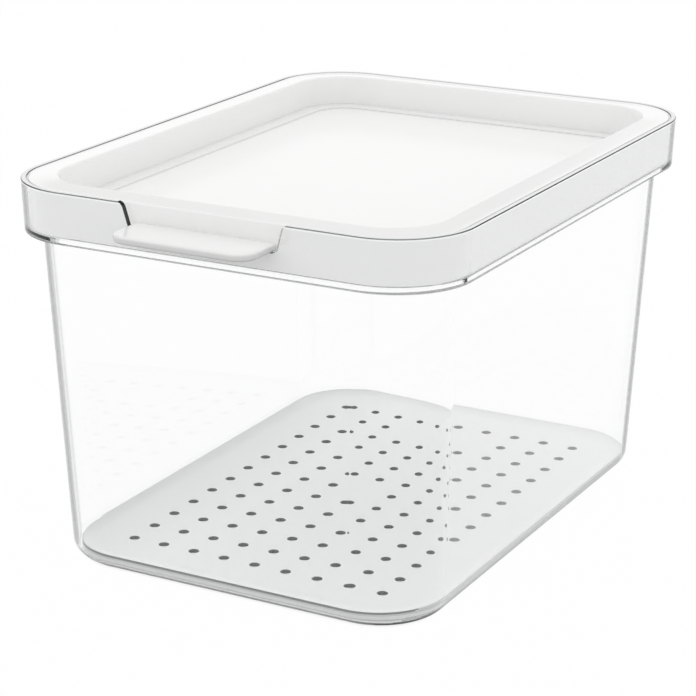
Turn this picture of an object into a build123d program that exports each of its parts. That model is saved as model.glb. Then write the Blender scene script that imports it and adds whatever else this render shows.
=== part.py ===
"""Fridge storage bin: a clear drafted tub, a white lift-off lid and a perforated drain tray.

Millimetres, +Z up. The origin is the middle of the flat base. +X is the bin's right side, and
the notched short side, where the lid's lift tab comes out, faces -Y.
"""
import os
from math import atan, degrees

from build123d import *

os.makedirs("parts", exist_ok=True)

# Tub body: outside sizes at the base, a short upright foot band, then drafted walls
base_width = 186.8
base_depth = 264.8
body_flare = 6.2
body_corner = 32.0
foot_band = 8.6
wall = 2.5
floor_thickness = 2.2
base_edge_radius = 8.0
inside_foot_chamfer = 2.0

# Collar: the wider band round the mouth, standing on a flat ledge
height = 177.4
collar_height = 23.6
collar_width = 215.6
collar_depth = 290.6
collar_corner = 36.0
collar_flare = 1.0
collar_wall = 2.6
ledge_thickness = 2.6
collar_edge_chamfer = 0.5

# Notch in the front of the collar, wider at its mouth
notch_width = 70.6
notch_mouth_width = 77.8
notch_height = 12.6
notch_foot_radius = 2.0
notch_mouth_radius = 2.5

# Lid: a slightly crowned rim round a deep recess, hollow underneath
lid_clearance = 0.5
lid_wall = 2.0
rim_width = 11.7
rim_land = 3.2
rim_drop = 0.4
rim_rise = 0.8
rim_edge_chamfer = 0.6
recess_depth = 14.4
recess_draft = 0.5
recess_corner = 25.0
recess_foot_chamfer = 1.0
ring_width = 8.4
ring_corner = 17.0
panel_step = 0.6
rib_thickness = 1.4
rib_spacing = 46.0
rib_count_across = 5
rib_count_along = 3

# Lift tab on the front of the lid
tab_width = 68.0
tab_reach = 20.0
tab_thickness = 3.4
tab_gap = 0.4
tab_corner = 9.0
tab_edge_chamfer = 1.0

# Drain tray; its many holes and its feet are drawn with flat sides to keep the model light
tray_clearance = 0.5
tray_thickness = 1.8
tray_corner = 31.0
tray_edge_chamfer = 0.6
tray_heel = 0.8
foot_height = 1.5
foot_diameter = 8.0
foot_side_count = 12
pitch_count_between_feet = 5
hole_diameter = 5.8
hole_side_count = 10
hole_pitch_x = 16.0
hole_pitch_y = 17.1
hole_count_across = 9
hole_count_along = 13
pitch_count_to_plain_row = 5
plain_count_across = 3

# Closeness within which an edge counts as lying at a height
level_tolerance = 0.01

# Heights and sizes that several pieces share
collar_foot = height - collar_height
ledge_top = collar_foot + ledge_thickness
notch_foot = height - notch_height
mouth_width = collar_width - 2 * collar_wall
mouth_depth = collar_depth - 2 * collar_wall
mouth_corner = collar_corner - collar_wall
collar_draft = degrees(atan(collar_flare / collar_height))


def body_growth(level):
    """How far each wall of the body has moved outward at a height above the base."""
    return body_flare * max(level - foot_band, 0) / (collar_foot - foot_band)


def collar_growth(level):
    """How far each wall of the collar stands inside its top outline at a height."""
    return collar_flare * (height - level) / collar_height


def body_block(bottom, top, inset):
    """The body's form between two heights, drawn in by a wall: an upright foot, then drafted walls."""
    with BuildPart() as block:
        with BuildSketch(Plane.XY.offset(bottom)):
            RectangleRounded(base_width - 2 * inset, base_depth - 2 * inset, body_corner - inset)
        extrude(amount=foot_band - bottom)
        for level in (foot_band, top):
            spread = 2 * (body_growth(level) - inset)
            with BuildSketch(Plane.XY.offset(level)):
                RectangleRounded(base_width + spread, base_depth + spread, body_corner - inset)
        loft()
    return block.part


def collar_block(bottom, top, inset):
    """The collar's form between two heights, drawn in by a wall: it narrows downward."""
    spread = 2 * (collar_growth(top) + inset)
    with BuildPart() as block:
        with BuildSketch(Plane.XY.offset(top)):
            RectangleRounded(collar_width - spread, collar_depth - spread,
                             collar_corner - collar_growth(top) - inset)
        extrude(amount=-(top - bottom), taper=collar_draft)
    return block.part


def edges_at(part, level):
    """The edges of a part that lie flat at one height."""
    return part.edges().filter_by(lambda edge: abs(edge.bounding_box().min.Z - level) < level_tolerance
                                  and abs(edge.bounding_box().max.Z - level) < level_tolerance)


# Body outside and inside, each with its own foot edge
with BuildPart() as body_outside:
    add(body_block(0, collar_foot, 0))
    fillet(edges_at(body_outside, 0), base_edge_radius)
with BuildPart() as body_inside:
    add(body_block(floor_thickness, ledge_top, wall))
    chamfer(edges_at(body_inside, floor_thickness), inside_foot_chamfer)

# Tub: tapered body, ledge and collar in one clear moulding
collar_outside = collar_block(collar_foot, height, 0)
mouth = collar_block(ledge_top, height, collar_wall)
with BuildPart() as tub:
    add(body_outside.part)
    add(collar_outside)
    add([mouth, body_inside.part], mode=Mode.SUBTRACT)

    # Front notch, open at the top, with softened foot and mouth corners
    with BuildSketch(Plane.XZ.offset(mouth_depth / 2 - 2 * collar_wall)):
        with BuildLine():
            Polyline((-notch_width / 2, notch_foot), (notch_width / 2, notch_foot),
                     (notch_mouth_width / 2, height), (-notch_mouth_width / 2, height), close=True)
        make_face()
    extrude(amount=4 * collar_wall, mode=Mode.SUBTRACT)
    for end, radius in ((0, notch_foot_radius), (-1, notch_mouth_radius)):
        through_edges = tub.edges().filter_by(Axis.Y).filter_by(lambda edge: edge.length < 2 * collar_wall)
        fillet(through_edges.group_by(Axis.Z)[end], radius)
    chamfer(edges_at(tub, height), collar_edge_chamfer)
tub.part.label = "tub"
export_step(tub.part, "parts/tub.step")

# Lid sizes that follow from the collar's mouth
lid_width = mouth_width - 2 * lid_clearance
lid_depth = mouth_depth - 2 * lid_clearance
lid_corner = mouth_corner - lid_clearance
lid_inset = collar_wall + lid_clearance
rim_edge = height - rim_drop
crest = rim_edge + rim_rise
ring_level = crest - recess_depth
panel_underside = ring_level - panel_step - lid_wall
recess_width = lid_width - 2 * rim_width
recess_length = lid_depth - 2 * rim_width
recess_taper = degrees(atan(recess_draft / recess_depth))

# Hollow under the rim, between the skirt and the recess wall, crossed by stiffening ribs
skirt_inside = collar_block(panel_underside, rim_edge - lid_wall, lid_inset + lid_wall)
with BuildPart() as rim_hollow:
    add(skirt_inside)
    with BuildSketch(Plane.XY.offset(rim_edge)):
        RectangleRounded(recess_width + 2 * lid_wall, recess_length + 2 * lid_wall, recess_corner + lid_wall)
    extrude(amount=panel_underside - rim_edge, taper=recess_taper, mode=Mode.SUBTRACT)
    with BuildSketch(Plane.XY.offset(panel_underside)):
        with GridLocations(0, rib_spacing, 1, rib_count_across):
            Rectangle(lid_width, rib_thickness)
        with GridLocations(rib_spacing, 0, rib_count_along, 1):
            Rectangle(rib_thickness, lid_depth)
    extrude(amount=rim_edge - panel_underside, mode=Mode.SUBTRACT)

# Lid: skirt, crowned rim, recess with its ring and panel, and the lift tab
skirt_outside = collar_block(ledge_top, rim_edge, lid_inset)
under_panel = collar_block(ledge_top, panel_underside, lid_inset + lid_wall)
with BuildPart() as lid:
    add(skirt_outside)
    chamfer(edges_at(lid, rim_edge), rim_edge_chamfer)
    with BuildSketch(Plane.XY.offset(rim_edge)):
        RectangleRounded(lid_width - 2 * rim_land, lid_depth - 2 * rim_land, lid_corner - rim_land)
    with BuildSketch(Plane.XY.offset(crest)):
        RectangleRounded(recess_width, recess_length, recess_corner)
    loft()
    with BuildSketch(Plane.XY.offset(crest)):
        RectangleRounded(recess_width, recess_length, recess_corner)
    extrude(amount=-recess_depth, taper=recess_taper, mode=Mode.SUBTRACT)
    chamfer(edges_at(lid, ring_level), recess_foot_chamfer)
    with BuildSketch(Plane.XY.offset(ring_level)):
        RectangleRounded(recess_width - 2 * recess_draft - 2 * ring_width,
                         recess_length - 2 * recess_draft - 2 * ring_width, ring_corner)
    extrude(amount=-panel_step, mode=Mode.SUBTRACT)
    add([under_panel, rim_hollow.part], mode=Mode.SUBTRACT)

    # Lift tab: a flat lip from the skirt out through the notch
    tab_root = lid_depth / 2 - lid_wall
    tab_front = collar_depth / 2 + tab_reach
    tab_foot = notch_foot + tab_gap
    with BuildSketch(Plane.XY.offset(tab_foot)) as tab_plan:
        with Locations((0, -(tab_root + tab_front) / 2)):
            Rectangle(tab_width, tab_front - tab_root)
        fillet(tab_plan.vertices().group_by(Axis.Y)[0], tab_corner)
    extrude(amount=tab_thickness)
    tab_edges = edges_at(lid, tab_foot) + edges_at(lid, tab_foot + tab_thickness)
    chamfer(tab_edges.filter_by(lambda edge: edge.center().Y < -lid_depth / 2 - tab_gap), tab_edge_chamfer)
lid.part.label = "lid"
export_step(lid.part, "parts/lid.step")

# Drain tray: a perforated plate with a chamfered heel, on short feet
tray_underside = floor_thickness + foot_height
with BuildPart() as drain_tray:
    with BuildSketch(Plane.XY.offset(tray_underside)):
        RectangleRounded(base_width - 2 * (wall + tray_clearance), base_depth - 2 * (wall + tray_clearance),
                         tray_corner)
    extrude(amount=tray_thickness)
    chamfer(edges_at(drain_tray, tray_underside + tray_thickness), tray_edge_chamfer)
    chamfer(edges_at(drain_tray, tray_underside), tray_heel)
    with BuildSketch(Plane.XY.offset(tray_underside)):
        with GridLocations(hole_pitch_x, hole_pitch_y, hole_count_across, hole_count_along):
            RegularPolygon(hole_diameter / 2, hole_side_count)
        # The plate stays plain in the middle and at three places near its back edge
        Circle(hole_diameter, mode=Mode.SUBTRACT)
        with Locations((0, pitch_count_to_plain_row * hole_pitch_y)):
            with GridLocations(hole_pitch_x, hole_pitch_y, plain_count_across, 1):
                Circle(hole_diameter, mode=Mode.SUBTRACT)
    extrude(amount=tray_thickness, mode=Mode.SUBTRACT)

    # Feet stand between the holes, near the ends and nearer the middle
    with BuildSketch(Plane.XY.offset(floor_thickness)):
        for pitches_apart in (hole_count_along, pitch_count_between_feet):
            with GridLocations(pitch_count_between_feet * hole_pitch_x, pitches_apart * hole_pitch_y, 2, 2):
                RegularPolygon(foot_diameter / 2, foot_side_count)
    extrude(amount=foot_height)
drain_tray.part.label = "drain_tray"
export_step(drain_tray.part, "parts/drain_tray.step")
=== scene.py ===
# %% [markdown]
# This lesson dresses a fridge storage bin: a clear tub, a white lid that drops into its collar and a
# perforated tray on the bottom. The imported model gives every place and size, so the first cell loads it.

# %% Load the imported bin
import bpy
import bmesh
import math
from mathutils import Matrix, Vector


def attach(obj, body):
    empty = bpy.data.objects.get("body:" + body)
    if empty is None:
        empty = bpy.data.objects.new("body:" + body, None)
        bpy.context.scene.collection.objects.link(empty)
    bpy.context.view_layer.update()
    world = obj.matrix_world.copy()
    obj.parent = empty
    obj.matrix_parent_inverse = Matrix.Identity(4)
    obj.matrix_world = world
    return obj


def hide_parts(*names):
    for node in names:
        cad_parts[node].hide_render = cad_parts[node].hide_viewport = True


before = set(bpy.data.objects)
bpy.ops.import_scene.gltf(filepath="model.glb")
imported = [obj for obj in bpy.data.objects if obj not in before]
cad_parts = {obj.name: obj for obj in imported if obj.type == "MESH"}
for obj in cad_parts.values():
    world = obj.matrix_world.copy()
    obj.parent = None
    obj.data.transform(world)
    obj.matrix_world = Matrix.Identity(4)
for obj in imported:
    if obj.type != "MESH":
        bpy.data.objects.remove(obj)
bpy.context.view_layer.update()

# %% [markdown]
# Moulded parts like these are stacks of round-cornered outlines: every wall, ledge and rounded
# edge is one more outline, a little higher or further in. A box with cuts and bevels would give the
# same forms, but each face would have to be found again before it could be moved. So one helper
# makes the first outline by bevelling the corners of a rectangle, and another extrudes it again and
# again, and each time moves the new vertices to the next outline, where each keeps its own corner
# and direction. An outline is (half width, half depth, corner radius, height), in millimetres.

# %% Outlines
MM = 0.001
CORNER_SEGMENTS = 28
MERGE = 1e-6


def outline_face(bm, half_x, half_y, radius, level):
    """A flat round-cornered face at a height."""
    corners = [bm.verts.new((sx * half_x * MM, sy * half_y * MM, level * MM))
               for sx, sy in ((-1, -1), (1, -1), (1, 1), (-1, 1))]
    start = bm.faces.new(corners)
    others = [face for face in bm.faces if face != start]
    bmesh.ops.bevel(bm, geom=corners, offset=radius * MM, offset_type="OFFSET",
                    segments=CORNER_SEGMENTS, profile=0.5, affect="VERTICES", material=-1)
    return next(face for face in bm.faces if face not in others)


def pulled(bm, face, keep):
    """Extrudes a face and gives the new one; the old one stays only as an end of the skin."""
    made = bmesh.ops.extrude_face_region(bm, geom=[face])
    if not keep:
        bmesh.ops.delete(bm, geom=[face], context="FACES_ONLY")
    return next(item for item in made["geom"] if isinstance(item, bmesh.types.BMFace))


def grow(bm, face, old, new, keep):
    """Pulls an outline's face on to the next outline."""
    face = pulled(bm, face, keep)
    old_x, old_y, old_radius, _ = old
    new_x, new_y, new_radius, level = new
    for vert in face.verts:
        side_x, side_y = math.copysign(1, vert.co.x), math.copysign(1, vert.co.y)
        arm = Vector((vert.co.x / MM - side_x * (old_x - old_radius),
                      vert.co.y / MM - side_y * (old_y - old_radius)))
        arm.length = new_radius
        vert.co = Vector((side_x * (new_x - new_radius) + arm.x,
                          side_y * (new_y - new_radius) + arm.y, level)) * MM
    return face


# %% [markdown]
# A moulding is closed once the first and the last outline keep their faces. Each finished piece
# stands at the origin with its place in its mesh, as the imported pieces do. A rounded edge is a
# quarter circle of outlines, so its points come from one small function.

# %% Skins and roundings
def finished(name, bm):
    """The bmesh as an object at the origin, with its faces pointing outward."""
    bmesh.ops.remove_doubles(bm, verts=bm.verts, dist=MERGE)
    bmesh.ops.recalc_face_normals(bm, faces=bm.faces)
    mesh = bpy.data.meshes.new(name)
    bm.to_mesh(mesh)
    bm.free()
    piece = bpy.data.objects.new(name, mesh)
    bpy.context.scene.collection.objects.link(piece)
    print(name, "faces", len(mesh.polygons))
    return piece


def skin(name, outlines):
    """A closed moulding whose skin runs through the outlines, from one end face to the other."""
    bm = bmesh.new()
    face = outline_face(bm, *outlines[0])
    for step, (old, new) in enumerate(zip(outlines, outlines[1:])):
        face = grow(bm, face, old, new, keep=step == 0)
    return finished(name, bm)


def rounded_edge(inset, level, radius, quarter, steps=6):
    """The (inset, level) points of a quarter circle, centred at an inset and a level.

    Quarter 0 runs from straight out to straight up, 1 from up to in, 2 from in to down and
    3 from down to out; a larger inset is further inside the moulding.
    """
    points = []
    for step in range(steps + 1):
        turn = math.radians(90 * (quarter + step / steps))
        points.append((inset - radius * math.cos(turn), level + radius * math.sin(turn)))
    return points


def new_verts(made):
    """The vertices among what an operator made."""
    return [item for item in made["geom"] if isinstance(item, bmesh.types.BMVert)]


# %% [markdown]
# The tub is one injection moulding of clear styrene, about 2.5 mm thick. Its body is drafted, so
# that it leaves the mould, and above a flat ledge it widens into a collar that the lid sits in.
# The skin starts under the base, climbs the outside, turns over the rim and comes down inside,
# because light only bends rightly through plastic that has both of its surfaces.

# %% Tub sizes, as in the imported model
BASE_X, BASE_Y, BASE_R = 93.4, 132.4, 32.0
BODY_FLARE, FOOT_BAND, HEIGHT = 6.2, 8.6, 177.4
COLLAR_HEIGHT, COLLAR_FLARE, LEDGE = 23.6, 1.0, 2.6
COLLAR_X, COLLAR_Y, COLLAR_R, COLLAR_WALL = 107.8, 145.3, 36.0, 2.6
WALL, FLOOR_TOP = 2.5, 2.2
FOOT_R, FOOT_INSIDE_R = 8.0, 3.4
COLLAR_FOOT = HEIGHT - COLLAR_HEIGHT
LEDGE_TOP = COLLAR_FOOT + LEDGE
COLLAR_SLOPE = COLLAR_FLARE / COLLAR_HEIGHT

# Small roundings: the collar's two top edges, its foot, and the fillet where it meets the ledge
EDGE_R, COLLAR_FOOT_R, LEDGE_R = 0.5, 0.7, 0.7
EDGE_LEVEL = HEIGHT - EDGE_R

# Height of the painted highlight strip under the collar's outer top edge
GLINT = 0.5


def body_loop(level, inset=0.0, tighten=0.0):
    """The body's outline at a height, drawn in by a wall, and by a rounding that also tightens it."""
    growth = BODY_FLARE * max(level - FOOT_BAND, 0) / (COLLAR_FOOT - FOOT_BAND)
    out = growth - inset - tighten
    return BASE_X + out, BASE_Y + out, BASE_R - inset - tighten, level


def collar_loop(level, inset=0.0):
    """The collar's outline at a height, drawn in by a wall."""
    inward = COLLAR_SLOPE * (HEIGHT - level) + inset
    return COLLAR_X - inward, COLLAR_Y - inward, COLLAR_R - inward, level


# %% Tub skin
base_edge = rounded_edge(FOOT_R, FOOT_R, FOOT_R, 3, steps=10)
collar_foot_edge = rounded_edge(COLLAR_FOOT_R, COLLAR_FOOT + COLLAR_FOOT_R, COLLAR_FOOT_R, 3, steps=4)
outer_edge = rounded_edge(EDGE_R, EDGE_LEVEL, EDGE_R, 0, steps=5)
inner_edge = rounded_edge(COLLAR_WALL - EDGE_R, EDGE_LEVEL, EDGE_R, 1, steps=5)
foot_inside = rounded_edge(FOOT_INSIDE_R, FLOOR_TOP + FOOT_INSIDE_R, FOOT_INSIDE_R, 3, steps=8)
ledge_steps = (LEDGE_R, 0.2, 0.0)

tub_outlines = [body_loop(z, tighten=i) for i, z in base_edge]
tub_outlines += [body_loop(FOOT_BAND), body_loop(COLLAR_FOOT)]
tub_outlines += [collar_loop(z, i) for i, z in collar_foot_edge]
tub_outlines += [collar_loop(EDGE_LEVEL - GLINT)]
tub_outlines += [collar_loop(z, i) for i, z in outer_edge]
tub_outlines += [collar_loop(z, i) for i, z in inner_edge]
tub_outlines += [collar_loop(LEDGE_TOP + i, COLLAR_WALL + LEDGE_R - i) for i in ledge_steps]
tub_outlines += [body_loop(LEDGE_TOP, WALL), body_loop(FOOT_BAND, WALL)]
tub_outlines += [body_loop(z, WALL, i) for i, z in reversed(foot_inside)]
tub = skin("clear_tub", tub_outlines)

# %% [markdown]
# The notch that the lift tab comes through is cut out of the collar's front, wider at its mouth.
# A cut like this is what a Boolean is for. The cutter is a flat outline drawn through the wall by
# an extrusion. A bevel rounds its corners at the notch's foot and at its mouth. Above the mouth
# it rises a little as it widens, so that none of its faces lies in the collar's flat top.

# %% Cut the notch
NOTCH_DEPTH, NOTCH_HALF, NOTCH_MOUTH_HALF = 12.6, 35.3, 38.9
NOTCH_FOOT_R, NOTCH_MOUTH_R = 2.0, 2.5
NOTCH_FOOT = HEIGHT - NOTCH_DEPTH
CUTTER_FRONT, CUTTER_REACH = -155, 18
CUTTER_SPREAD, CUTTER_RISE, CUTTER_TOP = 8, 0.3, 6


def notch_cutter():
    bm = bmesh.new()
    half = [(NOTCH_HALF, NOTCH_FOOT), (NOTCH_MOUTH_HALF, HEIGHT),
            (NOTCH_MOUTH_HALF + CUTTER_SPREAD, HEIGHT + CUTTER_RISE),
            (NOTCH_MOUTH_HALF + CUTTER_SPREAD, HEIGHT + CUTTER_TOP)]
    points = half + [(-x, z) for x, z in reversed(half)]
    corners = [bm.verts.new((x * MM, CUTTER_FRONT * MM, z * MM)) for x, z in points]
    bm.faces.new(corners)
    for pair, radius in (((0, 7), NOTCH_FOOT_R), ((1, 6), NOTCH_MOUTH_R)):
        bmesh.ops.bevel(bm, geom=[corners[i] for i in pair], offset=radius * MM, offset_type="OFFSET",
                        segments=6, profile=0.5, affect="VERTICES", material=-1)
    made = bmesh.ops.extrude_face_region(bm, geom=bm.faces[:])
    bmesh.ops.translate(bm, vec=(0, CUTTER_REACH * MM, 0), verts=new_verts(made))
    return finished("notch_cutter", bm)


def settle(piece):
    """Applies a piece's modifiers, so that its mesh is what is seen."""
    bpy.context.view_layer.update()
    graph = bpy.context.evaluated_depsgraph_get()
    mesh = bpy.data.meshes.new_from_object(piece.evaluated_get(graph))
    piece.modifiers.clear()
    piece.data = mesh
    mesh.name = piece.name
    print(piece.name, "faces", len(mesh.polygons))


cutter = notch_cutter()
cut = tub.modifiers.new("notch", "BOOLEAN")
cut.operation = "DIFFERENCE"
cut.solver = "EXACT"
cut.object = cutter
settle(tub)
bpy.data.objects.remove(cutter)

# %% [markdown]
# Flat walls have to look flat through clear plastic, so shading is smooth only across the small
# steps of a rounding, and a Weighted Normal modifier lets the large faces set the direction.

# %% Shade the roundings
SMOOTH_DEGREES = 25
LARGE_FACE_WEIGHT = 80


def smooth(piece):
    for face in piece.data.polygons:
        face.use_smooth = True
    piece.data.set_sharp_from_angle(angle=math.radians(SMOOTH_DEGREES))
    weigh = piece.modifiers.new("flat walls", "WEIGHTED_NORMAL")
    weigh.keep_sharp = True
    weigh.weight = LARGE_FACE_WEIGHT
    settle(piece)


smooth(tub)

# %% [markdown]
# In a real room the thin edges of clear plastic gather the dark of their surroundings. This studio is white
# all round, so they would vanish. Each face therefore gets a number in a face attribute, which its material
# turns into a painted darker or brighter tone: painted shade and painted reflection of that dark room on the
# thin edges, and a painted highlight on the collar's top. Attributes travel with the mesh, so these painted
# tones stay on the plastic from every side and in every pose.

# %% Marks on faces
LEVEL_FACE = 0.95


def mark(piece, name, tone):
    """Writes each face's tone, from its place, its normal and how far that points outward."""
    mesh = piece.data
    marks = mesh.attributes.new(name, "FLOAT", "FACE")
    for face in mesh.polygons:
        place = face.center / MM
        outward = face.normal.x * place.x + face.normal.y * place.y
        marks.data[face.index].value = tone(place, face.normal, outward)
    print(piece.name, name, "on faces", sum(item.value > 0 for item in marks.data))


# %% [markdown]
# The tub has three painted marks. The first is painted shade and painted reflection that darken its thin
# roundings and the cut faces of the notch. The second is a painted highlight that brightens the flat top of
# the collar and the strip under its outer edge. The third is painted shade that darkens the outside of the
# base's rounding: at the sides and corners up to 5.5 mm and most near the ground, at the front and back only
# at the very foot.

# %% Marks on the tub
NOTCH_FACES_HALF, NOTCH_FACES_Y, NOTCH_FACE_TURN = 41.5, -141, 0.3
BASE_LINE, SIDE_BASE_LINE, SIDE_BASE_WIDTH = 1.5, 3, 5
FOOT_TOP, FOOT_FADE, FRONT_FOOT_TOP, SIDE_TURN = 5.5, 4, 1.6, 0.6


# Painted shade and painted reflection: how dark each tub face is drawn on thin roundings, the notch's cut
# faces, the base and the ledge
def painted_edge_shade(place, normal, outward):
    x, y, z = place
    beside_notch = y < NOTCH_FACES_Y and abs(x) < NOTCH_FACES_HALF and z > NOTCH_FOOT - 0.1
    if beside_notch and abs(normal.y) < NOTCH_FACE_TURN:
        return 1.0
    if abs(normal.z) > LEVEL_FACE:
        return 0.0
    if z > EDGE_LEVEL:
        return 0.7 if outward < 0 else 1.0
    if COLLAR_FOOT < z < COLLAR_FOOT + COLLAR_FOOT_R:
        return 0.6
    if z < BASE_LINE or z < SIDE_BASE_LINE and abs(x) > BASE_X - SIDE_BASE_WIDTH:
        return 0.9
    if LEDGE_TOP < z < LEDGE_TOP + LEDGE_R and outward < 0:
        return 1.0
    return 0.0


# Painted highlight: the flat collar top and the strip under its outer edge are drawn bright
def painted_highlight_tone(place, normal, outward):
    top = place.z > HEIGHT - 0.1 and abs(normal.z) > LEVEL_FACE
    strip = EDGE_LEVEL - GLINT < place.z < EDGE_LEVEL and outward >= 0
    return 0.75 if top or strip and painted_edge_shade(place, normal, outward) == 0 else 0.0


# Painted shade on the outside of the base's rounding, darkest near the ground
def painted_foot_shade(place, normal, outward):
    if place.z >= FOOT_TOP or abs(normal.z) > LEVEL_FACE or outward < 0:
        return 0.0
    if abs(normal.y) < SIDE_TURN:
        return 0.7 * min(1.0, (FOOT_TOP - place.z) / FOOT_FADE)
    return 0.4 if place.z < FRONT_FOOT_TOP else 0.0


mark(tub, "edge", painted_edge_shade)
mark(tub, "painted_glint", painted_highlight_tone)
mark(tub, "foot", painted_foot_shade)

# %% [markdown]
# The lid is opaque white polypropylene. Its skin starts under the panel, runs through the hollow
# under the rim, down inside the skirt, up outside it, over the crowned rim and into the recess.

# %% Lid sizes
LID_GAP, LID_WALL = 0.5, 2.0
LID_X, LID_Y = 104.65, 142.15
LID_INSET = COLLAR_WALL + LID_GAP
RIM_STEP = 0.4
RIM_EDGE, CREST = HEIGHT - RIM_STEP, HEIGHT + RIM_STEP
RIM_LAND, RIM_LAND_R, RIM_R = 3.2, 29.7, 0.8
SKIRT_FOOT = 0.6
RECESS_X, RECESS_Y, RECESS_R = 92.95, 130.45, 25.0
RECESS_DEPTH, RECESS_DRAFT, RECESS_FOOT_R = 14.4, 0.5, 0.5
RING_WIDTH, PANEL_R, PANEL_STEP, PANEL_DRAFT = 8.9, 17.0, 0.6, 0.2
RING = CREST - RECESS_DEPTH
PANEL = RING - PANEL_STEP
PANEL_UNDER, RIM_UNDER = PANEL - LID_WALL, RIM_EDGE - LID_WALL

# Seven angles through a quarter circle, for the rim, the foot of the recess and the drain holes
QUARTER = [math.radians(15 * step) for step in range(7)]


def recess_loop(level, outset=0.0):
    """The recess wall's outline at a height, with its draft."""
    spread = outset - RECESS_DRAFT * (CREST - level) / (CREST - RING)
    return RECESS_X + spread, RECESS_Y + spread, RECESS_R + outset, level


def panel_loop(level, inset):
    """The outline of the step from the ring down to the panel."""
    across = RING_WIDTH + inset
    return RECESS_X - across, RECESS_Y - across, PANEL_R - inset, level


# %% Lid skin
skirt_edge = rounded_edge(RIM_R, RIM_EDGE - RIM_R, RIM_R, 0, steps=6)
lid_outlines = [recess_loop(PANEL_UNDER, LID_WALL), recess_loop(RIM_UNDER, LID_WALL)]
lid_outlines += [collar_loop(level, LID_INSET + LID_WALL) for level in (RIM_UNDER, LEDGE_TOP)]
lid_outlines += [collar_loop(level, LID_INSET) for level in (LEDGE_TOP, LEDGE_TOP + SKIRT_FOOT)]
lid_outlines += [collar_loop(z, LID_INSET + i) for i, z in skirt_edge]
lid_outlines += [(LID_X - RIM_LAND, LID_Y - RIM_LAND, RIM_LAND_R, RIM_EDGE)]
lid_outlines += [recess_loop(CREST - RIM_R * (1 - math.cos(a)), RIM_R * (1 - math.sin(a)))
                 for a in QUARTER]
lid_outlines += [recess_loop(RING + RECESS_FOOT_R * (1 - math.sin(a)), -RECESS_FOOT_R * (1 - math.cos(a)))
                 for a in QUARTER]
lid_outlines += [panel_loop(RING, 0.0), panel_loop(PANEL, PANEL_DRAFT)]
lid = skin("white_lid", lid_outlines)

# %% [markdown]
# The lift tab is moulded in one with the skirt: a flat lip that passes out through the notch, and
# starts a little inside the skirt, so that no gap shows. Its outline is a rectangle with its two
# front corners bevelled. Its upper and lower edges are bevelled too, but not inside the skirt.

# %% Lift tab
TAB_HALF, TAB_FRONT, TAB_ROOT, TAB_BARE = 34, -165.3, -140.2, -140.5
TAB_GAP, TAB_THICK, TAB_CORNER, TAB_EDGE = 0.4, 3.4, 9, 1.2
TAB_FOOT = NOTCH_FOOT + TAB_GAP


def tab_mesh():
    bm = bmesh.new()
    corners = [bm.verts.new((x * MM, y * MM, TAB_FOOT * MM)) for x, y in
               ((-TAB_HALF, TAB_FRONT), (TAB_HALF, TAB_FRONT), (TAB_HALF, TAB_ROOT), (-TAB_HALF, TAB_ROOT))]
    bm.faces.new(corners)
    bmesh.ops.bevel(bm, geom=corners[:2], offset=TAB_CORNER * MM, offset_type="OFFSET", segments=14,
                    profile=0.5, affect="VERTICES", material=-1)
    made = bmesh.ops.extrude_face_region(bm, geom=bm.faces[:])
    bmesh.ops.translate(bm, vec=(0, 0, TAB_THICK * MM), verts=new_verts(made))
    rims = [edge for edge in bm.edges if abs(edge.verts[0].co.z - edge.verts[1].co.z) < MERGE
            and min(vert.co.y for vert in edge.verts) < TAB_BARE * MM]
    bmesh.ops.bevel(bm, geom=rims, offset=TAB_EDGE * MM, offset_type="OFFSET", segments=5,
                    profile=0.5, affect="EDGES", material=-1)
    return finished("white_lift_tab", bm)


tab = tab_mesh()

# %% [markdown]
# Under the rim, short ribs tie the skirt to the recess wall, as such lids have them against
# warping. They are plain thin plates and show only from below, so a stretched cube does for each.

# %% Ribs under the rim
RIB_SPACING, RIB_THICK, RIB_SPAN, RIB_HEIGHT, RIB_LEVEL = 46, 1.4, 9.0, 14.2, 168.0
RIB_X, RIB_Y = 98.6, 136.1


def add_rib(bm, x, y, width, depth):
    place = Matrix.Translation((x * MM, y * MM, RIB_LEVEL * MM))
    size = Matrix.Diagonal((width * MM, depth * MM, RIB_HEIGHT * MM, 1))
    bmesh.ops.create_cube(bm, size=1, matrix=place @ size)


def rib_mesh():
    bm = bmesh.new()
    for row in range(-2, 3):
        for side in (-1, 1):
            add_rib(bm, side * RIB_X, RIB_SPACING * row, RIB_SPAN, RIB_THICK)
    for column in range(-1, 2):
        for side in (-1, 1):
            add_rib(bm, RIB_SPACING * column, side * RIB_Y, RIB_THICK, RIB_SPAN)
    return finished("white_lid_ribs", bm)


ribs = rib_mesh()
smooth(lid)
smooth(tab)

# %% [markdown]
# White plastic shows its form by shadow in its steps and gaps. The narrowest of them are too fine for soft
# light to draw, so painted shade marks them darker: the step round the panel, the foot of the recess wall,
# the ring, the foot of the skirt on the right, and the rim's outer edge beside the collar.

# %% Marks on the lid
RING_REACH, SKIRT_SIDE, RIM_TURN = 0.01, 100, 0.8


# Painted shade: how dark each lid face is drawn in its steps and gaps
def lid_painted_shade(place, normal, outward):
    x, y, z = place
    level = abs(normal.z)
    if PANEL < z < RING and level < LEVEL_FACE:
        return 0.30
    if RING < z < RING + RECESS_FOOT_R and level < LEVEL_FACE and outward <= 0:
        return 0.15
    if abs(z - RING) < RING_REACH:
        return 0.06
    if LEDGE_TOP < z < LEDGE_TOP + SKIRT_FOOT and outward > 0 and x > SKIRT_SIDE:
        return 1.0
    at_notch = y < 0 and abs(x) < NOTCH_MOUTH_HALF
    if z > RIM_EDGE - RIM_R and outward > 0 and level < RIM_TURN and not at_notch:
        return 0.9
    return 0.0


mark(lid, "painted_shade", lid_painted_shade)

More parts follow.
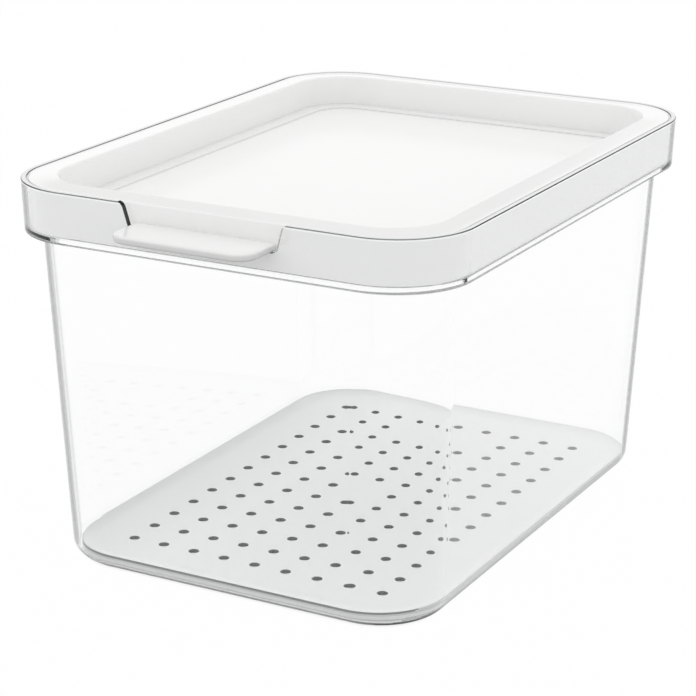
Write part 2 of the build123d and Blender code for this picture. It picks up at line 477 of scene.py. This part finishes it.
# %% [markdown]
# The tray is a thin plate with 113 drain holes, on a grid of 9 by 13 that leaves four places
# plain. The holes could be cut by a Boolean, but that leaves poor faces between them. Instead one
# square of the plate is drawn, its middle pulled round into a hole with a softened rim, and the
# square is copied to each place of the grid. The holes are 4.9 mm wide, as measured after the last
# pack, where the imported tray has 5.8 mm.

# %% Tray cell
HOLE_R, HOLE_RIM, HOLE_SIDES = 2.45, 0.25, 32
PITCH_X, PITCH_Y, TRAY_FOOT, TRAY_TOP = 16.0, 17.1, 3.7, 5.5
COLUMNS, ROWS = range(-4, 5), range(-6, 7)
PLAIN_PLACES = ((0, 0), (-1, 5), (0, 5), (1, 5))
GRID_X, GRID_Y = 4.5 * PITCH_X, 6.5 * PITCH_Y


def tray_cell(bm):
    """One pitch of the plate, with a hole whose upper rim is rounded."""
    corners = [bm.verts.new((sx * PITCH_X / 2 * MM, sy * PITCH_Y / 2 * MM, TRAY_TOP * MM))
               for sx, sy in ((-1, -1), (1, -1), (1, 1), (-1, 1))]
    square = bm.faces.new(corners)
    bmesh.ops.subdivide_edges(bm, edges=square.edges[:], cuts=HOLE_SIDES // 4 - 1)
    around = [vert.co.xy.copy() for vert in square.verts]
    face = square
    rim = [(HOLE_R + HOLE_RIM * (1 - math.sin(a)), TRAY_TOP - HOLE_RIM * (1 - math.cos(a)))
           for a in QUARTER[::2]]
    for radius, level in rim + [(HOLE_R, TRAY_FOOT)]:
        face = pulled(bm, face, keep=False)
        for vert in face.verts:
            vert.co = vert.co.xy.normalized().to_3d() * radius * MM + Vector((0, 0, level * MM))
    face = pulled(bm, face, keep=False)
    for vert in face.verts:
        vert.co.xy = max(around, key=lambda spot: spot.normalized().dot(vert.co.xy.normalized()))
    bmesh.ops.delete(bm, geom=[face], context="FACES_ONLY")


def tray_grid(bm):
    """The cell copied to every place but the plain ones, which are then filled."""
    tray_cell(bm)
    cell = bm.verts[:] + bm.edges[:] + bm.faces[:]
    for column in COLUMNS:
        for row in ROWS:
            if (column, row) not in PLAIN_PLACES:
                made = bmesh.ops.duplicate(bm, geom=cell)
                bmesh.ops.translate(bm, vec=(column * PITCH_X * MM, row * PITCH_Y * MM, 0),
                                    verts=new_verts(made))
    bmesh.ops.delete(bm, geom=[item for item in cell if isinstance(item, bmesh.types.BMFace)],
                     context="FACES")
    bmesh.ops.remove_doubles(bm, verts=bm.verts, dist=MERGE)
    inner = [edge for edge in bm.edges if len(edge.link_faces) == 1
             and all(abs(vert.co.x) < (GRID_X - 1) * MM and abs(vert.co.y) < (GRID_Y - 1) * MM
                     for vert in edge.verts)]
    bmesh.ops.holes_fill(bm, edges=inner, sides=0)


# %% [markdown]
# The plate's edge turns up in a gentle dish and ends in a low rounded lip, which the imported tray
# lacks, as it was found later. It is a skin of outlines again, and two flat fills join it to the
# grid, above and below. Eight short feet carry the plate, so that water can run under it.

# %% Tray
TRAY_X, TRAY_Y, TRAY_R, TRAY_HEEL = 90.4, 129.4, 31.0, 0.8
DISH_WIDTH, DISH_R, LIP_R, LIP_FOOT = 8.8, 20.0, 0.75, 0.4
LIP_TOP = TRAY_TOP + 1.8
FOOT_PLACES = [(x * PITCH_X, y * PITCH_Y) for x in (-2.5, 2.5) for y in (-6.5, -2.5, 2.5, 6.5)]
PEG_R, PEG_HEIGHT, PEG_MIDDLE = 4, 1.7, 3.05


def tray_outlines():
    sweep = [math.radians(3 * step) for step in range(8)]
    edge = [(DISH_WIDTH - DISH_R * math.sin(a), TRAY_TOP + DISH_R * (1 - math.cos(a))) for a in sweep]
    lip_level = LIP_TOP - LIP_R
    lip = rounded_edge(LIP_R, lip_level, LIP_R, 0) + rounded_edge(LIP_R, lip_level, LIP_R, 1)[1:5]
    edge += reversed(lip)
    edge += [(0.0, TRAY_TOP + LIP_FOOT), (0.0, TRAY_FOOT + TRAY_HEEL), (TRAY_HEEL, TRAY_FOOT)]
    return [(TRAY_X - inset, TRAY_Y - inset, TRAY_R - inset, level) for inset, level in edge]


def tray_mesh():
    bm = bmesh.new()
    tray_grid(bm)
    outlines = tray_outlines()
    face = outline_face(bm, *outlines[0])
    for old, new in zip(outlines, outlines[1:]):
        face = grow(bm, face, old, new, keep=False)
    bmesh.ops.delete(bm, geom=[face], context="FACES_ONLY")
    for level in (TRAY_TOP, TRAY_FOOT):
        borders = [edge for edge in bm.edges if len(edge.link_faces) == 1
                   and abs(edge.verts[0].co.z - level * MM) < 0.1 * MM]
        bmesh.ops.triangle_fill(bm, edges=borders, use_beauty=True, normal=(0, 0, 1))
    for x, y in FOOT_PLACES:
        bmesh.ops.create_cone(bm, cap_ends=True, segments=24, radius1=PEG_R * MM, radius2=PEG_R * MM,
                              depth=PEG_HEIGHT * MM,
                              matrix=Matrix.Translation((x * MM, y * MM, PEG_MIDDLE * MM)))
    return finished("perforated_tray", bm)


tray = tray_mesh()
smooth(tray)

# %% [markdown]
# The tray has the same painted shade as the lid. The walls of its holes and the crest of its lip are
# darkest. The crest is fainter on the right, where it is seen through the side wall, and the outside of the
# lip and the plate's outer edge are fainter everywhere.

# %% Marks on the tray
CREST_SIDE, HOLE_WALL = 86, 0.5


# Painted shade: how dark each tray face is drawn in its holes and on its lip
def tray_painted_shade(place, normal, outward):
    x, y, z = place
    if abs(x) < GRID_X and abs(y) < GRID_Y:
        return 1.0 if abs(normal.z) < HOLE_WALL else 0.0
    if outward <= 0 or abs(normal.z) >= LEVEL_FACE:
        return 0.0
    if z > LIP_TOP - LIP_R:
        return 0.45 if x > CREST_SIDE else 1.0
    return 0.45 if z > TRAY_TOP + LIP_FOOT else 0.22


mark(tray, "painted_shade", tray_painted_shade)

# %% [markdown]
# Colours are written as sRGB hex values, as a colour picker shows them, and turned linear once.
# One function adds any node with its settings, values and links.

# %% Colour and node helpers
WHITE = (1, 1, 1, 1)


def linear(hex_colour):
    parts = [int(hex_colour[i:i + 2], 16) / 255 for i in (1, 3, 5)]
    return [c / 12.92 if c <= 0.04045 else ((c + 0.055) / 1.055) ** 2.4 for c in parts] + [1.0]


def add_node(tree, kind, settings=None, inputs=None, links=None):
    """Adds a node, sets its properties and inputs, and links (input, from node, output)."""
    node = tree.nodes.new(kind)
    for key, value in (settings or {}).items():
        setattr(node, key, value)
    for key, value in (inputs or {}).items():
        node.inputs[key].default_value = value
    for key, source, output in links or ():
        tree.links.new(source.outputs[output], node.inputs[key])
    return node


def new_material(name):
    material = bpy.data.materials.new(name)
    material.use_nodes = True
    tree = material.node_tree
    tree.nodes.clear()
    return material, tree


# %% [markdown]
# Clear styrene is moulded against polished steel, so it has no texture. Its own IOR is about 1.59, and 1.5
# is used here, because the tones were set with it. What gives it to the eye is its edges. Walls seen flat
# are invisible, walls seen edge-on turn grey-green, and a trace of colour builds up along a long path
# inside. The tint over Layer Weight's Facing gives the second as painted shade, standing in for the darker
# room that such walls mirror and bend in; a volume gives the third, and the marked faces give the fine lines
# as painted shade and a painted highlight.
# Light that is trapped inside the wall by total reflection would come out white in this studio, so rays that
# meet the inner side of the surface beyond that angle turn partly dark instead, a painted shade for the
# darker room that such light would show. Facing is 1 minus the cosine at this blend, so the angle is a
# Facing of about 0.255 at an IOR of 1.5.
# For shadows and soft light the wall counts as plainly see-through, because Cycles can't send
# lamp light through bent glass without noise.

# %% Clear styrene
# Painted shade at grazing views: clear up to a Facing of 0.67, then darker grey-green
FACING_PAINTED_SHADE = ((0.67, "#FFFFFF"), (1.0, "#59635F"), (0.75, "#A4ACAA"))
TRAPPED_FROM, TRAPPED_TO, TRAPPED_SHARE = 0.250, 0.258, 0.40


def clear_styrene():
    material, tree = new_material("injection moulded clear styrene")
    facing = add_node(tree, "ShaderNodeLayerWeight", inputs={"Blend": 0.5})
    ramp = add_node(tree, "ShaderNodeValToRGB", links=[("Fac", facing, "Facing")])
    stops = ramp.color_ramp.elements
    for stop, (position, colour) in zip((stops[0], stops[1], stops.new(0.75)), FACING_PAINTED_SHADE):
        stop.position = position
        stop.color = linear(colour)

    # Bent light, with painted shade where the wall is seen edge-on and on the marked edges
    # The edge mark paints these faces dark grey-green, as painted shade and painted reflection
    edge = add_node(tree, "ShaderNodeAttribute", {"attribute_name": "edge"})
    painted_dark = add_node(tree, "ShaderNodeMix", {"data_type": "RGBA"}, inputs={"B": linear("#5C6462")},
                    links=[("Factor", edge, "Fac"), ("A", ramp, "Color")])
    look = add_node(tree, "ShaderNodeBsdfPrincipled",
                    inputs={"Transmission Weight": 1.0, "IOR": 1.5, "Roughness": 0.0},
                    links=[("Base Color", painted_dark, "Result")])

    # Painted shade where light would be trapped inside
    inside = add_node(tree, "ShaderNodeNewGeometry")
    beyond = add_node(tree, "ShaderNodeMapRange",
                      inputs={"From Min": TRAPPED_FROM, "From Max": TRAPPED_TO, "To Max": TRAPPED_SHARE},
                      links=[("Value", facing, "Facing")])
    trapped = add_node(tree, "ShaderNodeMath", {"operation": "MULTIPLY"},
                       links=[(0, beyond, "Result"), (1, inside, "Backfacing")])
    shade = add_node(tree, "ShaderNodeBsdfDiffuse", inputs={"Color": linear("#1E2422")})
    look = add_node(tree, "ShaderNodeMixShader",
                    links=[(0, trapped, 0), (1, look, "BSDF"), (2, shade, "BSDF")])

    # Painted highlight: the bright strips glow by emission. Then the painted shade of the foot, which counts
    # only on the outside of the wall
    painted_glint = add_node(tree, "ShaderNodeAttribute", {"attribute_name": "painted_glint"})
    lit = add_node(tree, "ShaderNodeEmission", inputs={"Color": WHITE, "Strength": 1.0})
    look = add_node(tree, "ShaderNodeMixShader",
                    links=[(0, painted_glint, "Fac"), (1, look, "Shader"), (2, lit, "Emission")])
    foot = add_node(tree, "ShaderNodeAttribute", {"attribute_name": "foot"})
    outer = add_node(tree, "ShaderNodeMath", {"operation": "SUBTRACT", "use_clamp": True},
                     links=[(0, foot, "Fac"), (1, inside, "Backfacing")])
    look = add_node(tree, "ShaderNodeMixShader",
                    links=[(0, outer, 0), (1, look, "Shader"), (2, shade, "BSDF")])

    # See-through for shadows and soft light, and faintly coloured in its depth
    through = add_node(tree, "ShaderNodeBsdfTransparent", inputs={"Color": (0.98, 0.985, 0.983, 1)})
    path = add_node(tree, "ShaderNodeLightPath")
    soft = add_node(tree, "ShaderNodeMath", {"operation": "MAXIMUM"},
                    links=[(0, path, "Is Shadow Ray"), (1, path, "Is Diffuse Ray")])
    look = add_node(tree, "ShaderNodeMixShader",
                    links=[(0, soft, 0), (1, look, "Shader"), (2, through, "BSDF")])
    depth = add_node(tree, "ShaderNodeVolumeAbsorption", inputs={"Color": linear("#A4B0AD"), "Density": 3.5})
    add_node(tree, "ShaderNodeOutputMaterial",
             links=[("Surface", look, "Shader"), ("Volume", depth, "Volume")])
    return material


# %% [markdown]
# Polypropylene has an IOR of about 1.49 and a satin gloss. Two things tell moulded plastic from
# paint. The melt leaves faint clouds, here about 38 mm wide, so 26 to the metre, which vary colour
# and gloss. The fine texture of the steel breaks up reflections. Its grain is 0.4 mm here, so 2600
# to the metre, which is about a pixel of this view.
# The tab's copy of the white is painted a shade darker than the lid's, with more painted shade on faces that
# turn downward. The tray is off-white, with painted shade that makes it greyer towards its left side. A part
# with a share of white in mirrors glows white where it would be mirrored in another surface, a painted
# reflection, so that the tub's walls don't show the tray a second time. Cycles counts bent rays as glossy
# too, so these are taken out of that share.

# %% White polypropylene
CLOUDS_PER_METRE = 26.0
GRAIN_PER_METRE = 2600.0
GRAIN_HEIGHT = 0.02
# Where the tray's painted shade, greyer towards its left side, starts and ends along x, in metres
LEFT_FROM, LEFT_TO = -0.040, -0.085


def white_plastic(name, colour, painted_shade, under=None, white_in_mirrors=0.0, left=None):
    material, tree = new_material(name)
    place = add_node(tree, "ShaderNodeTexCoord")
    clouds = add_node(tree, "ShaderNodeTexNoise", inputs={"Scale": CLOUDS_PER_METRE, "Detail": 3.0},
                      links=[("Vector", place, "Object")])
    grain = add_node(tree, "ShaderNodeTexNoise", inputs={"Scale": GRAIN_PER_METRE, "Detail": 2.0},
                     links=[("Vector", place, "Object")])

    # Colour: clouds, then painted shade on the left side, on the marked faces and on the downward faces
    tone = add_node(tree, "ShaderNodeMix", {"data_type": "RGBA"},
                    inputs={"A": linear(colour[0]), "B": linear(colour[1])},
                    links=[("Factor", clouds, "Fac")])
    # Painted shade: greyer towards the left side
    if left:
        across = add_node(tree, "ShaderNodeSeparateXYZ", links=[("Vector", place, "Object")])
        near = add_node(tree, "ShaderNodeMapRange", inputs={"From Min": LEFT_FROM, "From Max": LEFT_TO},
                        links=[("Value", across, "X")])
        tone = add_node(tree, "ShaderNodeMix", {"data_type": "RGBA"}, inputs={"B": linear(left)},
                        links=[("Factor", near, "Result"), ("A", tone, "Result")])
    # Painted shade on the marked faces
    hollow = add_node(tree, "ShaderNodeAttribute", {"attribute_name": "painted_shade"})
    tone = add_node(tree, "ShaderNodeMix", {"data_type": "RGBA"}, inputs={"B": linear(painted_shade)},
                    links=[("Factor", hollow, "Fac"), ("A", tone, "Result")])
    # Painted shade on faces that turn downward
    if under:
        turned = add_node(tree, "ShaderNodeNewGeometry")
        apart = add_node(tree, "ShaderNodeSeparateXYZ", links=[("Vector", turned, "Normal")])
        low = add_node(tree, "ShaderNodeMapRange", inputs={"From Min": 0.9, "From Max": -0.7},
                       links=[("Value", apart, "Z")])
        tone = add_node(tree, "ShaderNodeMix", {"data_type": "RGBA"}, inputs={"B": linear(under)},
                        links=[("Factor", low, "Result"), ("A", tone, "Result")])

    # Satin gloss
    gloss = add_node(tree, "ShaderNodeMapRange", inputs={"To Min": 0.11, "To Max": 0.17},
                     links=[("Value", clouds, "Fac")])
    bump = add_node(tree, "ShaderNodeBump", inputs={"Strength": 0.10, "Distance": GRAIN_HEIGHT * MM},
                    links=[("Height", grain, "Fac")])
    shader = add_node(tree, "ShaderNodeBsdfPrincipled", inputs={"IOR": 1.49},
                      links=[("Base Color", tone, "Result"), ("Roughness", gloss, "Result"),
                             ("Normal", bump, "Normal")])

    # Painted reflection: white emission where it would be mirrored elsewhere
    path = add_node(tree, "ShaderNodeLightPath")
    mirrored = add_node(tree, "ShaderNodeMath", {"operation": "SUBTRACT"},
                        links=[(0, path, "Is Glossy Ray"), (1, path, "Is Transmission Ray")])
    mirrored = add_node(tree, "ShaderNodeMath", {"operation": "MULTIPLY", "use_clamp": True},
                        inputs={1: white_in_mirrors}, links=[(0, mirrored, 0)])
    pale = add_node(tree, "ShaderNodeEmission", inputs={"Color": WHITE, "Strength": 1.0})
    look = add_node(tree, "ShaderNodeMixShader",
                    links=[(0, mirrored, 0), (1, shader, "BSDF"), (2, pale, "Emission")])
    add_node(tree, "ShaderNodeOutputMaterial", links=[("Surface", look, "Shader")])
    return material


# %% [markdown]
# Each piece takes its material, rides on the body that carries it and stands for the imported node. The tab
# and the ribs belong to the lid.

# %% Finish the pieces
styrene = clear_styrene()
lid_white = white_plastic("moulded white polypropylene", ("#F5F5F5", "#F7F7F6"), "#B0B0B0")
# The tab is a shaded copy of the lid's white: painted darker, and more so on its downward faces
tab_white_shaded = white_plastic("moulded white polypropylene, lift tab", ("#F0F0F0", "#F2F2F1"), "#B0B0B0",
                          under="#C0C0C0")
# The tray is painted greyer towards the left and glows white in mirrors
tray_white = white_plastic("moulded off-white polypropylene", ("#F1F1F1", "#F3F3F3"), "#747877",
                           white_in_mirrors=0.9, left="#E4E5E5")
for piece, material, body, node, slot in ((tub, styrene, "tub", "tub", "clear_plastic"),
                                          (lid, lid_white, "lid", "lid", "white_plastic"),
                                          (tab, tab_white_shaded, "lid", "lid", "white_plastic"),
                                          (ribs, lid_white, "lid", "lid", "white_plastic"),
                                          (tray, tray_white, "drain_tray", "drain_tray", "tray_plastic")):
    piece.data.materials.clear()
    piece.data.materials.append(material)
    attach(piece, body)
    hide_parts(node)
    print(piece.name, "has", material.name)

# %% [markdown]
# The floor is studio paper. To the camera, and to rays that were mirrored or bent, it glows white,
# which makes the plain background. It stays pale grey paper under the bin's rounded base, so
# that the holes and the foot of the tub show something darker, and it takes soft shadows.

# %% Floor
FLOOR_HALF, FLOOR_DROP = 6.0, 0.3
SHADE_FROM, SHADE_TO, GLOW = 14, 3.5, 0.985


def floor_piece():
    bm = bmesh.new()
    bmesh.ops.create_grid(bm, x_segments=1, y_segments=1, size=FLOOR_HALF,
                          matrix=Matrix.Translation((0, 0, -FLOOR_DROP * MM)))
    piece = finished("studio_floor", bm)
    material, tree = new_material("white studio paper")
    path = add_node(tree, "ShaderNodeLightPath")
    seen = add_node(tree, "ShaderNodeMath", {"operation": "MAXIMUM"},
                    links=[(0, path, "Is Camera Ray"), (1, path, "Is Glossy Ray")])
    seen = add_node(tree, "ShaderNodeMath", {"operation": "MAXIMUM"},
                    links=[(0, seen, 0), (1, path, "Is Transmission Ray")])

    # Distance from the middle lines of the base's rounded corners, which is the base's own outline
    place = add_node(tree, "ShaderNodeTexCoord")
    apart = add_node(tree, "ShaderNodeSeparateXYZ", links=[("Vector", place, "Object")])
    sides = []
    for axis, half in (("X", BASE_X), ("Y", BASE_Y)):
        size = add_node(tree, "ShaderNodeMath", {"operation": "ABSOLUTE"}, links=[(0, apart, axis)])
        past = add_node(tree, "ShaderNodeMath", {"operation": "SUBTRACT"},
                        inputs={1: (half - BASE_R) * MM}, links=[(0, size, 0)])
        sides.append(add_node(tree, "ShaderNodeMath", {"operation": "MAXIMUM"},
                              inputs={1: 0.0}, links=[(0, past, 0)]))
    corner = add_node(tree, "ShaderNodeCombineXYZ", links=[("X", sides[0], 0), ("Y", sides[1], 0)])
    away = add_node(tree, "ShaderNodeVectorMath", {"operation": "LENGTH"}, links=[(0, corner, "Vector")])
    outside = add_node(tree, "ShaderNodeMapRange", {"interpolation_type": "SMOOTHSTEP"},
                       inputs={"From Min": (BASE_R - SHADE_FROM) * MM, "From Max": (BASE_R - SHADE_TO) * MM},
                       links=[("Value", away, "Value")])

    # White glow over the paper
    lit = add_node(tree, "ShaderNodeMath", {"operation": "MULTIPLY"}, inputs={1: GLOW},
                   links=[(0, outside, "Result")])
    share = add_node(tree, "ShaderNodeMath", {"operation": "MULTIPLY"}, links=[(0, seen, 0), (1, lit, 0)])
    paper = add_node(tree, "ShaderNodeBsdfDiffuse", inputs={"Color": linear("#D2D2D2")})
    glow = add_node(tree, "ShaderNodeEmission", inputs={"Color": WHITE, "Strength": 1.0})
    look = add_node(tree, "ShaderNodeMixShader",
                    links=[(0, share, 0), (1, paper, "BSDF"), (2, glow, "Emission")])
    add_node(tree, "ShaderNodeOutputMaterial", links=[("Surface", look, "Shader")])
    piece.data.materials.append(material)


floor_piece()

# %% [markdown]
# The world is a white studio at a plain level. Only what glossy surfaces mirror differs: it is
# white near the horizon and darker overhead, like a room behind its lamps. The lid's near rims
# tilt towards that darker part and turn grey, and its far rims stay white.

# %% World
CEILING_FROM, CEILING_TO, CEILING_LIGHT = 0.272, 0.300, 0.3
STUDIO_LIGHT = 1.02


def studio_world():
    world = bpy.data.worlds.new("studio")
    bpy.context.scene.world = world
    world.use_nodes = True
    tree = world.node_tree
    tree.nodes.clear()
    path = add_node(tree, "ShaderNodeLightPath")
    place = add_node(tree, "ShaderNodeTexCoord")
    apart = add_node(tree, "ShaderNodeSeparateXYZ", links=[("Vector", place, "Generated")])
    ceiling = add_node(tree, "ShaderNodeMapRange", {"interpolation_type": "SMOOTHSTEP"},
                       inputs={"From Min": CEILING_FROM, "From Max": CEILING_TO,
                               "To Min": 1.0, "To Max": CEILING_LIGHT},
                       links=[("Value", apart, "Z")])
    soft = add_node(tree, "ShaderNodeBackground", inputs={"Color": WHITE, "Strength": STUDIO_LIGHT})
    mirrored = add_node(tree, "ShaderNodeBackground", inputs={"Color": WHITE},
                        links=[("Strength", ceiling, "Result")])
    white = add_node(tree, "ShaderNodeBackground", inputs={"Color": WHITE, "Strength": 1.0})
    glossy = add_node(tree, "ShaderNodeMixShader",
                      links=[(0, path, "Is Glossy Ray"), (1, soft, "Background"),
                             (2, mirrored, "Background")])
    seen = add_node(tree, "ShaderNodeMath", {"operation": "MAXIMUM"},
                    links=[(0, path, "Is Camera Ray"), (1, path, "Is Transmission Ray")])
    look = add_node(tree, "ShaderNodeMixShader",
                    links=[(0, seen, 0), (1, glossy, "Shader"), (2, white, "Background")])
    add_node(tree, "ShaderNodeOutputWorld", links=[("Surface", look, "Shader")])
    print("world", world.name, "nodes", len(tree.nodes))


studio_world()

# %% [markdown]
# One weak softbox stands behind the bin on the left, so that the light has a direction. It isn't
# seen itself, neither by the camera nor in or through the plastic.

# %% Softbox
SOFTBOX_AT, SOFTBOX_AIM = Vector((-1.3, 1.5, 1.15)), Vector((0, 0, 0.15))
SOFTBOX_SIZE, SOFTBOX_WATTS = 1.2, 4


def softbox():
    light = bpy.data.lights.new("back_left_softbox", "AREA")
    light.size = SOFTBOX_SIZE
    light.energy = SOFTBOX_WATTS
    lamp = bpy.data.objects.new("back_left_softbox", light)
    bpy.context.scene.collection.objects.link(lamp)
    lamp.location = SOFTBOX_AT
    lamp.rotation_euler = (SOFTBOX_AIM - SOFTBOX_AT).to_track_quat("-Z", "Y").to_euler()
    lamp.visible_camera = False
    lamp.visible_transmission = False
    lamp.visible_glossy = False
    print("softbox", SOFTBOX_WATTS, "W at", tuple(lamp.location))


softbox()

# %% [markdown]
# The camera stands where the photograph's stood. Its place, turn and lens were fitted to the
# collar's straight edges and the grid of drain holes. A long lens from about a metre away keeps
# the upright edges nearly parallel.

# %% Camera
CAMERA_AT = (0.4959, -0.9406, 0.4259)
LOOK_DOWN, LOOK_LEFT = 18.1656, 29.0818
LENS, SENSOR, SHIFT_X, SHIFT_Y = 121.85, 36, 0.049, 0.002

camera_data = bpy.data.cameras.new("camera")
camera = bpy.data.objects.new("camera", camera_data)
bpy.context.scene.collection.objects.link(camera)
camera_data.lens = LENS
camera_data.sensor_width = SENSOR
camera_data.shift_x = SHIFT_X
camera_data.shift_y = SHIFT_Y
camera.location = CAMERA_AT
camera.rotation_euler = (math.radians(90 - LOOK_DOWN), 0, math.radians(LOOK_LEFT))
bpy.context.scene.camera = camera
bpy.context.scene.view_settings.view_transform = "Standard"
print("camera", LENS, "mm at", tuple(camera.location))
